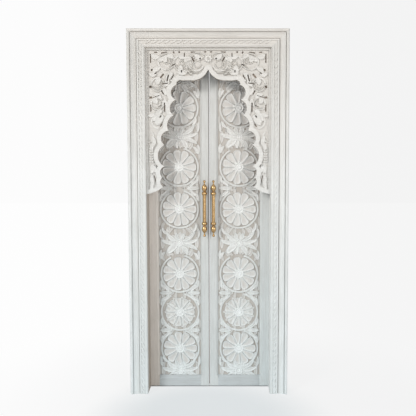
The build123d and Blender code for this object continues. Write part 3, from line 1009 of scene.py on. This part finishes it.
def brass(name, colour, roughness):
    """Polished brass with fine rubbing marks."""
    material, tree, shader = new_material(name)
    shader.inputs["Metallic"].default_value = 1.0
    noise = node(tree, "ShaderNodeTexNoise", (-700, 0))
    noise.inputs["Scale"].default_value = 90
    noise.inputs["Detail"].default_value = 3
    tree.links.new(object_place(tree, (-900, 0)), noise.inputs["Vector"])
    marks = noise.outputs["Fac"]
    dull = (colour[0] * 0.82, colour[1] * 0.78, colour[2] * 0.7)
    tone = ramp(tree, marks, (-460, 120), (0.35, dull), (0.65, colour))
    tree.links.new(tone, shader.inputs["Base Color"])
    rough = map_range(tree, marks, (-460, -160), 0.0, 1.0, roughness * 0.7, roughness * 1.4)
    tree.links.new(rough, shader.inputs["Roughness"])
    return material


# Copies of one whitewash, lit and shaded by their tints: painted shade on the meeting stiles, the
# level pieces and rails, the head and the left reveals; painted light on the right stiles and the
# right reveals; painted light on the left stiles, with painted shade towards the floor. The panel,
# arch, casing and head also take painted shade in their hollows, and the arch and casing painted shade
# towards the head.
meeting_paint_with_painted_shade = painted_wood("meeting stile whitewash with painted shade", tint=(0.67, 0.67, 0.65), seam=0.0042)
right_stile_paint_with_painted_light = painted_wood("right stile whitewash with painted light", tint=(0.75, 0.755, 0.735))
right_reveal_paint_with_painted_light = painted_wood("right reveal whitewash with painted light", tint=(0.91, 0.90, 0.88))
left_stile_paint_with_painted_light_and_shade = painted_wood(
    "left stile whitewash with painted light and shade", tint=(0.89, 0.84, 0.79), floor_light_and_shade_tint=(0.74, 0.735, 0.72)
)
level_paint_with_painted_shade = painted_wood("level whitewash with painted shade", along="X", tint=(0.57, 0.58, 0.575))
panel_paint_with_painted_shade = painted_wood(
    "panel whitewash with painted shade",
    ground=panel_ground,
    top=panel_ground - 0.0070,
    stain_and_shade=0.66,
    tint=(0.86, 0.855, 0.835),
)
arch_paint_with_painted_shade = painted_wood(
    "arch whitewash with painted shade",
    along="X",
    ground=arch_ground + 0.005,
    top=arch_ground - 0.001,
    stain_and_shade=1.0,
    tint=(0.77, 0.76, 0.735),
    head_shade_tint=(0.96, 0.94, 0.92),
)
casing_paint_with_painted_shade = painted_wood(
    "casing whitewash with painted shade",
    ground=casing_ground,
    top=casing_top,
    tint=(0.81, 0.81, 0.79),
    head_shade_tint=(0.86, 0.84, 0.82),
)
head_paint_with_painted_shade = painted_wood(
    "head whitewash with painted shade",
    along="X",
    ground=casing_ground,
    top=casing_top,
    tint=(0.735, 0.705, 0.665),
)
left_reveal_paint_with_painted_shade = painted_wood(
    "left reveal whitewash with painted shade", wear=0.8, tint=(0.56, 0.495, 0.435), floor_light_and_shade_tint=(0.74, 0.73, 0.72)
)
handle_brass = brass("handle brass", (0.52, 0.36, 0.185), 0.2)
hinge_brass = brass("hinge brass", (0.62, 0.47, 0.26), 0.34)

# The finish of each node is the first whose word is in its name
finishes = [
    ("left_hinge_stile", left_stile_paint_with_painted_light_and_shade),
    ("right_hinge_stile", right_stile_paint_with_painted_light),
    ("meeting_stile", meeting_paint_with_painted_shade),
    ("hinge", hinge_brass),
    ("handle", handle_brass),
    ("arch_board", arch_paint_with_painted_shade),
    ("carved_panel", panel_paint_with_painted_shade),
    ("head_casing", head_paint_with_painted_shade),
    ("head_carved_band", head_paint_with_painted_shade),
    ("casing", casing_paint_with_painted_shade),
    ("band", casing_paint_with_painted_shade),
    ("left_stop", left_reveal_paint_with_painted_shade),
    ("left_jamb", left_reveal_paint_with_painted_shade),
    ("right_stop", right_reveal_paint_with_painted_light),
    ("right_jamb", right_reveal_paint_with_painted_light),
    ("head", level_paint_with_painted_shade),
    ("rail", level_paint_with_painted_shade),
]


def dress(piece, finish):
    piece.data.materials.clear()
    piece.data.materials.append(finish)


for name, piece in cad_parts.items():
    dress(piece, next(finish for word, finish in finishes if word in name))

carvings = [
    (left_panel, "left_leaf", panel_paint_with_painted_shade),
    (right_panel, "right_leaf", panel_paint_with_painted_shade),
    (left_arch, "frame", arch_paint_with_painted_shade),
    (right_arch, "frame", arch_paint_with_painted_shade),
    (crown, "frame", arch_paint_with_painted_shade),
]
for piece, body, finish in carvings:
    dress(piece, finish)
    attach(piece, body)
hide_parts("left_carved_panel")
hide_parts("right_carved_panel")


# Floor, light and camera

def grey(value):
    return (value, value, value, 1)


def seen_directly(tree, x, y):
    """One for rays from the camera, off a shiny surface or through glass, and nothing for the rest."""
    path = node(tree, "ShaderNodeLightPath", (x, y)).outputs
    direct = maths(
        tree, "ADD", (x + 200, y), path["Is Camera Ray"], path["Is Glossy Ray"], clamp=True
    )
    return maths(tree, "ADD", (x + 400, y), direct, path["Is Transmission Ray"], clamp=True)


def floor_colour(tree, sides, distance):
    """Paler on the left and greyer on the right as painted light from the left, and a little darker
    and cooler just in front of the door as painted shade.
    """
    across = map_range(tree, sides["X"], (-900, -400), -1.2, 1.2)
    # Painted light: paler on the left, greyer on the right
    pale = mix_colours(tree, (-700, -400), across, grey(0.985), grey(0.915))
    # Painted shade just in front of the door
    painted_door_shade = map_range(tree, distance, (-700, -100), 0.75, 0.30, kind="SMOOTHSTEP")
    return mix_colours(tree, (-500, -300), painted_door_shade, pale, (0.74, 0.775, 0.79, 1))


def clear_of_leaves(tree, sides):
    """Nothing in a strip under the leaves, where only real light is shown, and one elsewhere."""
    strip_middle = leaf_front + 0.008
    strip_half = 0.009
    aside = maths(tree, "ABSOLUTE", (-900, 700), sides["X"])
    inside = maths(tree, "LESS_THAN", (-700, 700), aside, leaf_outer)
    behind = maths(tree, "COMPARE", (-700, 900), sides["Y"], strip_middle, strip_half)
    under = maths(tree, "MULTIPLY", (-500, 800), inside, behind)
    return maths(tree, "SUBTRACT", (-300, 800), 1.0, under)


def stage_floor():
    """A pale floor that fades into the background."""
    deselect()
    bpy.ops.mesh.primitive_plane_add(size=40, location=(0, 0, -0.0005))
    floor = bpy.context.object
    floor.name = "studio_floor"
    material, tree, shader = new_material("studio floor")
    shader.inputs["Base Color"].default_value = (0.86, 0.87, 0.875, 1)
    shader.inputs["Roughness"].default_value = 0.6
    shader.inputs["Specular IOR Level"].default_value = 0.1
    spot = object_place(tree, (-1300, -200))
    sides = split(tree, spot, (-1100, -400))
    # Distances are taken from a spot in front of the door
    spot_reach = 0.42
    shift = node(tree, "ShaderNodeVectorMath", (-1100, -100), operation="ADD")
    shift.inputs[1].default_value = (0, spot_reach, 0)
    tree.links.new(spot, shift.inputs[0])
    length = node(tree, "ShaderNodeVectorMath", (-900, -100), operation="LENGTH")
    tree.links.new(shift.outputs["Vector"], length.inputs[0])
    distance = length.outputs["Value"]

    glow = node(tree, "ShaderNodeEmission", (-200, -200))
    tree.links.new(floor_colour(tree, sides, distance), glow.inputs["Color"])
    glow.inputs["Strength"].default_value = 1.0
    fade = map_range(tree, distance, (-700, 100), 0.5, 1.9, 0.88, 1.0, kind="SMOOTHSTEP")
    seen = maths(tree, "MULTIPLY", (-100, 200), seen_directly(tree, -700, 400), fade)
    shown = maths(tree, "MULTIPLY", (0, 400), seen, clear_of_leaves(tree, sides))
    mix = node(tree, "ShaderNodeMixShader", (100, 0))
    tree.links.new(shown, mix.inputs["Fac"])
    tree.links.new(shader.outputs["BSDF"], mix.inputs[1])
    tree.links.new(glow.outputs["Emission"], mix.inputs[2])
    tree.links.new(mix.outputs["Shader"], tree.nodes["Material Output"].inputs["Surface"])
    floor.data.materials.append(material)


def area_light(name, place, size, power, colour):
    """A round light that faces the middle of the door."""
    data = bpy.data.lights.new(name, "AREA")
    data.shape = "DISK"
    data.size = size
    data.energy = power
    data.color = colour
    lamp = bpy.data.objects.new(name, data)
    bpy.context.scene.collection.objects.link(lamp)
    lamp.location = place
    middle = Vector((0, 0, 1.1))
    lamp.rotation_euler = (middle - Vector(place)).to_track_quat("-Z", "Y").to_euler()


def studio_light():
    """Soft light all round, a strong lamp on the left and a weaker, warmer one on the right."""
    world = bpy.data.worlds.new("studio")
    bpy.context.scene.world = world
    world.use_nodes = True
    tree = world.node_tree
    soft = tree.nodes["Background"]
    soft.inputs["Color"].default_value = (0.93, 0.97, 1.0, 1)
    soft.inputs["Strength"].default_value = 0.455

    # What is seen of the background is white, a little greyer on the right as painted shade
    direction = node(tree, "ShaderNodeTexCoord", (-900, -200)).outputs["Generated"]
    sides = split(tree, direction, (-700, -200))
    across = map_range(tree, sides["X"], (-500, -200), -0.30, 0.20)
    pale = mix_colours(tree, (-300, -200), across, grey(0.975), grey(0.90))
    white = node(tree, "ShaderNodeBackground", (0, -200))
    tree.links.new(pale, white.inputs["Color"])
    white.inputs["Strength"].default_value = 1.0
    mix = node(tree, "ShaderNodeMixShader", (300, 0))
    tree.links.new(seen_directly(tree, -500, 300), mix.inputs["Fac"])
    tree.links.new(soft.outputs["Background"], mix.inputs[1])
    tree.links.new(white.outputs["Background"], mix.inputs[2])
    tree.links.new(mix.outputs["Shader"], tree.nodes["World Output"].inputs["Surface"])
    area_light("key", (-4.5, -5.6, 4.6), size=2.2, power=284, colour=(1.0, 0.985, 0.965))
    area_light("fill", (3.6, -5.0, 2.0), size=3.0, power=105, colour=(1.0, 0.965, 0.93))


def set_camera():
    """The camera at the photo's angle: right of the middle and tilted down a little."""
    data = bpy.data.cameras.new("camera")
    camera = bpy.data.objects.new("camera", data)
    bpy.context.scene.collection.objects.link(camera)
    tilt = 3.80
    camera.location = (0.1256, -3.0862, 1.310)
    camera.rotation_euler = (math.radians(90 - tilt), 0, 0)
    data.sensor_width = 36
    data.lens = 44.86
    data.shift_x = -0.0529
    bpy.context.scene.camera = camera


stage_floor()
studio_light()
set_camera()
bpy.context.scene.view_settings.view_transform = "Standard"
